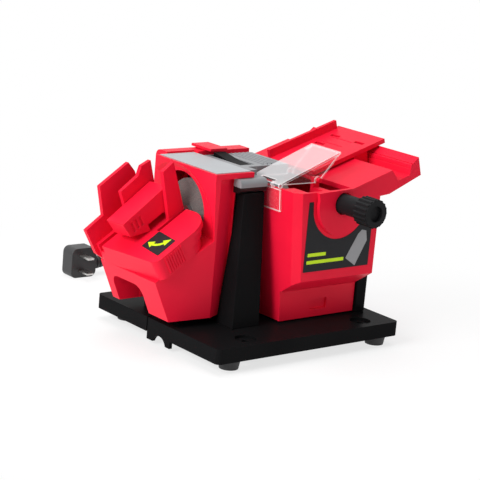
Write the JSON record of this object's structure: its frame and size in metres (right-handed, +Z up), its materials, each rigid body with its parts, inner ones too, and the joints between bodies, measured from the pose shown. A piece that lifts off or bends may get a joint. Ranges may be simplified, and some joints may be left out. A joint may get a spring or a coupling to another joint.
{
  "type": "bench sharpener",
  "caption": "Electric bench sharpener: knife head with swinging guide lid on one side of a motor tower, chisel head with tilting table and clear guard on the other.",
  "frame": {"origin": "centre of the sharpener's box on the table it stands on, without the cord and plug", "axes": "+X from the knife head to the chisel head along the shaft, +Y from the front to the back, +Z up"},
  "size_m": [0.2296, 0.2842, 0.153],
  "materials": {
    "red_plastic": "satin",
    "black_plastic": "gloss",
    "rubber": "matt",
    "steel": "turned",
    "silver_cap": "brushed",
    "abrasive": "gritty",
    "motor_metal": "satin",
    "bronze": "turned",
    "board": "matt",
    "clear_plastic": "clear"
  },
  "bodies": {
    "base": {"base_plate": "black_plastic", "base_cover": "black_plastic", "base_feet": "rubber", "foot_screws": "steel", "lever_pin": "steel", "motor_tower": "black_plastic", "top_cap": "silver_cap", "switch_body": "black_plastic", "rear_cover": "red_plastic", "rear_screws": "steel", "wiring_board": "board", "motor_can": "motor_metal", "shaft_bearings": "bronze", "knife_head": "red_plastic", "head_label": "silver_cap", "lid_pin": "steel", "chisel_head": "red_plastic", "right_post": "black_plastic", "clamp_bolt": "steel", "guard_leaf": "clear_plastic", "guard_pin": "steel", "guard_catch": "red_plastic", "strain_relief": "rubber", "cord_lead": "rubber", "cord_coil": "rubber", "cord_tie": "rubber", "cord_tail": "rubber", "plug_relief": "rubber", "plug_body": "rubber", "plug_blades": "steel"},
    "spindle": {"motor_shaft": "steel", "motor_rotor": "motor_metal", "knife_wheel": "abrasive", "chisel_wheel": "abrasive", "wheel_flanges": "steel", "wheel_nuts": "steel"},
    "lid": {"knife_lid": "red_plastic"},
    "press": {"blade_press": "red_plastic"},
    "lever": {"release_lever": "black_plastic"},
    "frame": {"tilt_frame": "red_plastic"},
    "carriage": {"carriage_table": "red_plastic"},
    "guard": {"wheel_guard": "clear_plastic"},
    "knob": {"clamp_knob": "black_plastic"},
    "rocker": {"power_rocker": "black_plastic"}
  },
  "joints": [
    {"name": "shaft_spin", "type": "hinge", "parent": "base", "child": "spindle", "pos_m": [-0.01157, 0.01172, 0.094], "axis": [1, 0, 0], "continuous": true},
    {"name": "lid_swing", "type": "hinge", "parent": "base", "child": "lid", "pos_m": [-0.08087, 0.01172, 0.0824], "axis": [-0.5, 0, 0.866], "range_deg": [-12, 4]},
    {"name": "press_slide", "type": "slide", "parent": "lid", "child": "press", "axis": [0.8639, 0.0698, 0.4988], "range_m": [-0.005, 0]},
    {"name": "lever_swing", "type": "hinge", "parent": "base", "child": "lever", "pos_m": [-0.07357, -0.00358, 0.0135], "axis": [0, 1, 0], "range_deg": [0, 15], "stiffness_Nm_per_rad": 0.05},
    {"name": "frame_tilt", "type": "hinge", "parent": "base", "child": "frame", "pos_m": [0.03893, -0.00108, 0.1115], "axis": [0, -1, 0], "range_deg": [-8, 8]},
    {"name": "carriage_slide", "type": "slide", "parent": "frame", "child": "carriage", "axis": [0, 1, 0], "range_m": [-0.028, 0.02]},
    {"name": "guard_hinge", "type": "hinge", "parent": "base", "child": "guard", "pos_m": [-0.00541, -0.02508, 0.1229], "axis": [0, -1, 0], "range_deg": [0, 65]},
    {"name": "knob_turn", "type": "hinge", "parent": "base", "child": "knob", "pos_m": [0.03893, -0.07458, 0.1115], "axis": [0, 1, 0], "continuous": true},
    {"name": "switch_rock", "type": "hinge", "parent": "base", "child": "rocker", "pos_m": [-0.00407, 0.01872, 0.125], "axis": [1, 0, 0], "range_deg": [-12, 0]}
  ]
}
